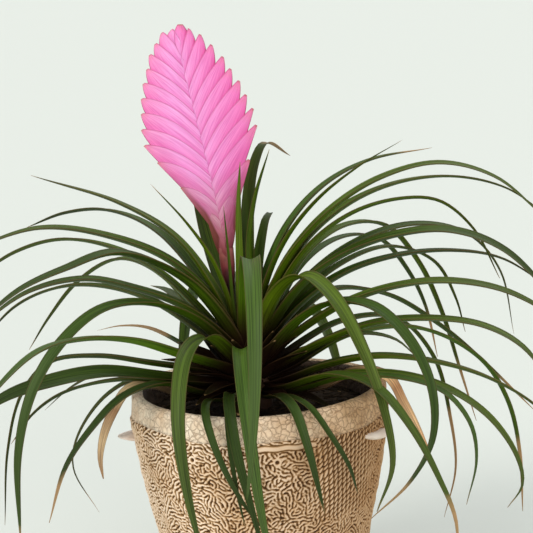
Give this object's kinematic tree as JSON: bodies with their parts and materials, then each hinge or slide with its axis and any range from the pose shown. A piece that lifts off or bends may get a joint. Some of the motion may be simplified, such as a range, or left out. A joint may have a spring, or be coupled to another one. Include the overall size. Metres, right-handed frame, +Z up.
{
  "type": "potted pink quill plant",
  "caption": "Pink quill plant in a ribbed earthenware pot: arching channelled leaves round a flat pink flower spike. It stands free.",
  "frame": {"origin": "centre of the pot's underside, on the surface it stands on", "axes": "+Z up along the pot's axis; -Y is the front, which the flat flower spike faces; +X is to the right seen from the front"},
  "size_m": [0.352, 0.2969, 0.344],
  "materials": {
    "earthenware": "unglazed, with raised worm-like ribs on the body and a fine-cracked pale slip on the collar",
    "soil": "dark moist bark and peat mix",
    "inner_leaf": "satin green with dark red-brown bases",
    "stalk": "satin, red-brown sheaths turning pink upwards",
    "bract": "satin pink with darker seams and paler tips",
    "leaf": "satin dark green with fine lengthwise lines and a grey bloom on the upper face",
    "dried_leaf": "matt tan, dried and curled"
  },
  "bodies": {
    "root": {"pot": "earthenware", "soil": "soil", "crown": "inner_leaf", "flower_stalk": "stalk", "flower_spike": "bract", "leaf_left_01": "leaf", "leaf_left_02": "leaf", "leaf_left_03": "leaf", "leaf_left_04": "leaf", "leaf_left_05": "leaf", "leaf_left_06": "leaf", "leaf_left_07": "leaf", "leaf_left_08": "leaf", "leaf_left_09": "leaf", "leaf_left_10": "leaf", "leaf_left_11": "leaf", "leaf_left_12": "leaf", "leaf_left_13": "leaf", "leaf_left_14": "leaf", "leaf_left_15": "leaf", "leaf_left_16": "leaf", "leaf_left_17": "leaf", "leaf_left_18": "leaf", "leaf_right_01": "leaf", "leaf_right_02": "leaf", "leaf_right_03": "leaf", "leaf_right_04": "leaf", "leaf_right_05": "leaf", "leaf_right_06": "leaf", "leaf_right_07": "leaf", "leaf_right_08": "leaf", "leaf_right_09": "leaf", "leaf_right_10": "leaf", "leaf_right_11": "leaf", "leaf_right_12": "leaf", "leaf_right_13": "leaf", "leaf_right_14": "leaf", "leaf_right_15": "leaf", "leaf_right_16": "leaf", "leaf_right_17": "leaf", "leaf_right_18": "leaf", "leaf_right_19": "leaf", "leaf_right_20": "leaf", "leaf_right_21": "leaf", "leaf_front_01": "leaf", "leaf_front_02": "leaf", "leaf_front_03": "leaf", "leaf_front_04": "leaf", "leaf_front_05": "leaf", "leaf_front_06": "leaf", "leaf_front_07": "leaf", "leaf_front_08": "leaf", "leaf_front_09": "leaf", "leaf_back_01": "leaf", "leaf_back_02": "leaf", "leaf_back_03": "leaf", "leaf_back_04": "leaf", "leaf_dried_01": "dried_leaf", "leaf_dried_02": "dried_leaf"}
  },
  "joints": []
}
